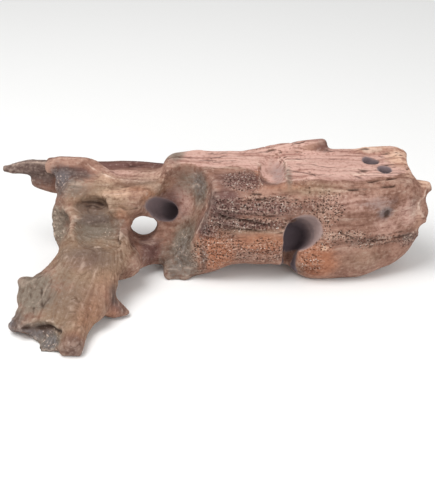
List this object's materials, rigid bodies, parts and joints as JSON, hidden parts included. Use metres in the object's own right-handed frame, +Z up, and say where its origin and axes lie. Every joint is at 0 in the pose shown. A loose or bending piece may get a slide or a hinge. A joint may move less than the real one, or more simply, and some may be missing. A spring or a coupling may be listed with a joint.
{
  "type": "mangrove driftwood piece",
  "caption": "Weathered mangrove driftwood lying on a table: a thick pitted root trunk with a knot hole, a hollowed flange, a short leg and a thin free spike.",
  "frame": {"origin": "point on the table under the middle of the piece's box", "axes": "+X along the trunk, from the free spike to the broken trunk end; +Y from the leg to the back; +Z up from the table"},
  "size_m": [0.4508, 0.2268, 0.1294],
  "materials": {
    "wood": "matt weathered bare wood"
  },
  "bodies": {
    "root": {"driftwood": "wood"}
  },
  "joints": []
}
